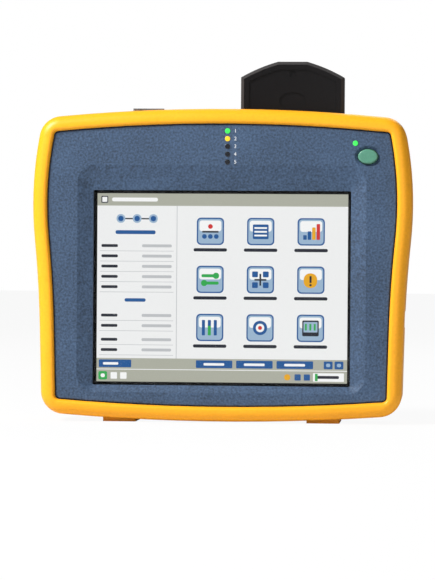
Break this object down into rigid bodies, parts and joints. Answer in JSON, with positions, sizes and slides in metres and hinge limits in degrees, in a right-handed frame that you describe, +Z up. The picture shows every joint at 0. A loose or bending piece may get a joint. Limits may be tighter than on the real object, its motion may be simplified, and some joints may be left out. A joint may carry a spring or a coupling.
{
  "type": "handheld network tester",
  "caption": "Tablet-style handheld network tester in a rubber holster, with a touch screen, status lamps, a plug-in radio card, a fibre module, a stylus, a battery pack and a tilt stand.",
  "frame": {"origin": "on the floor under the two foot pads, at the middle of the width and of the depth", "axes": "+X to the right as the user sees the screen, -Y out of the screen, +Z up"},
  "size_m": [0.197, 0.054, 0.1882],
  "materials": {
    "holster": "satin moulded rubber",
    "foot_pads": "satin moulded rubber",
    "front_case": "fine grain",
    "rear_cover": "fine grain",
    "case_seal": "matt",
    "display_gasket": "matt foam",
    "touch_panel": "clear, polished",
    "lcd_panel": "polished",
    "backlight_guide": "polished",
    "lcd_frame": "satin",
    "chassis_plate": "brushed",
    "frame_screws": "plated",
    "board_standoffs": "turned",
    "board_screws": "plated",
    "main_board": "solder mask",
    "processor_shield": "tinned",
    "board_chips": "moulded",
    "indicator_board": "solder mask",
    "inverter_board": "solder mask",
    "strip_screws": "plated",
    "status_lens_1": "clear, tinted",
    "status_lens_2": "clear, tinted",
    "status_lens_3": "clear, tinted",
    "status_lens_4": "clear, tinted",
    "status_lens_5": "clear, tinted",
    "power_lens": "clear, tinted",
    "power_button": "satin",
    "power_switch": "moulded",
    "lan_jack": "shielded",
    "sfp_cage": "tinned",
    "sfp_module": "plated",
    "sfp_bail": "wire",
    "usb_jack": "tinned",
    "dc_jack": "moulded",
    "card_cage": "tinned",
    "eject_button": "moulded",
    "radio_card": "stamped",
    "radio_cap_front": "satin gloss",
    "radio_cap_back": "satin gloss",
    "antenna_board": "solder mask",
    "stylus_sleeve": "moulded",
    "stylus": "satin",
    "speaker": "matt",
    "battery_case": "fine grain",
    "battery_lid": "fine grain",
    "battery_terminals": "gold plated",
    "battery_cells": "sleeved",
    "battery_contacts": "moulded",
    "battery_latch": "moulded",
    "battery_feet": "matt",
    "rear_feet": "matt",
    "tilt_stand": "satin",
    "stand_pins": "turned",
    "case_screws": "black plated",
    "threaded_inserts": "knurled"
  },
  "bodies": {
    "housing": {"holster": "holster", "foot_pads": "foot_pads", "front_case": "front_case", "rear_cover": "rear_cover", "case_seal": "case_seal", "display_gasket": "display_gasket", "touch_panel": "touch_panel", "lcd_panel": "lcd_panel", "backlight_guide": "backlight_guide", "lcd_frame": "lcd_frame", "chassis_plate": "chassis_plate", "frame_screws": "frame_screws", "board_standoffs": "board_standoffs", "board_screws": "board_screws", "main_board": "main_board", "processor_shield": "processor_shield", "board_chips": "board_chips", "indicator_board": "indicator_board", "inverter_board": "inverter_board", "strip_screws": "strip_screws", "status_lens_1": "status_lens_1", "status_lens_2": "status_lens_2", "status_lens_3": "status_lens_3", "status_lens_4": "status_lens_4", "status_lens_5": "status_lens_5", "power_lens": "power_lens", "power_switch": "power_switch", "lan_jack": "lan_jack", "sfp_cage": "sfp_cage", "usb_jack": "usb_jack", "dc_jack": "dc_jack", "card_cage": "card_cage", "stylus_sleeve": "stylus_sleeve", "speaker": "speaker", "battery_contacts": "battery_contacts", "rear_feet": "rear_feet", "stand_pins": "stand_pins", "case_screws": "case_screws", "threaded_inserts": "threaded_inserts"},
    "power_button": {"power_button": "power_button"},
    "radio_card": {"radio_card": "radio_card", "radio_cap_front": "radio_cap_front", "radio_cap_back": "radio_cap_back", "antenna_board": "antenna_board"},
    "eject_button": {"eject_button": "eject_button"},
    "sfp_module": {"sfp_module": "sfp_module"},
    "sfp_bail": {"sfp_bail": "sfp_bail"},
    "battery": {"battery_case": "battery_case", "battery_lid": "battery_lid", "battery_terminals": "battery_terminals", "battery_cells": "battery_cells", "battery_feet": "battery_feet"},
    "battery_latch": {"battery_latch": "battery_latch"},
    "tilt_stand": {"tilt_stand": "tilt_stand"},
    "stylus": {"stylus": "stylus"}
  },
  "joints": [
    {"name": "power_button_slide", "type": "slide", "parent": "housing", "child": "power_button", "axis": [0, 1, 0], "range_m": [0, 0.0006], "stiffness_N_per_m": 600, "springref_m": -0.0005},
    {"name": "radio_card_slide", "type": "slide", "parent": "housing", "child": "radio_card", "axis": [0, 0, 1], "range_m": [0, 0.08]},
    {"name": "eject_button_slide", "type": "slide", "parent": "housing", "child": "eject_button", "axis": [0, 0, -1], "range_m": [0, 0.004], "stiffness_N_per_m": 100, "springref_m": -0.0005},
    {"name": "sfp_module_slide", "type": "slide", "parent": "housing", "child": "sfp_module", "axis": [0, 0, 1], "range_m": [0, 0.045]},
    {"name": "sfp_bail_pivot", "type": "hinge", "parent": "sfp_module", "child": "sfp_bail", "pos_m": [-0.0406, 0.00055, 0.15906], "axis": [-1, 0, 0], "range_deg": [0, 55]},
    {"name": "battery_slide", "type": "slide", "parent": "housing", "child": "battery", "axis": [0, 1, 0], "range_m": [0, 0.03]},
    {"name": "battery_latch_slide", "type": "slide", "parent": "housing", "child": "battery_latch", "axis": [0, 0, 1], "range_m": [0, 0.003], "stiffness_N_per_m": 200, "springref_m": -0.0005},
    {"name": "tilt_stand_pivot", "type": "hinge", "parent": "housing", "child": "tilt_stand", "pos_m": [0, 0.0215, 0.098], "axis": [1, 0, 0], "range_deg": [0, 55]},
    {"name": "stylus_slide", "type": "slide", "parent": "housing", "child": "stylus", "axis": [0, 0, 1], "range_m": [0, 0.1]}
  ]
}
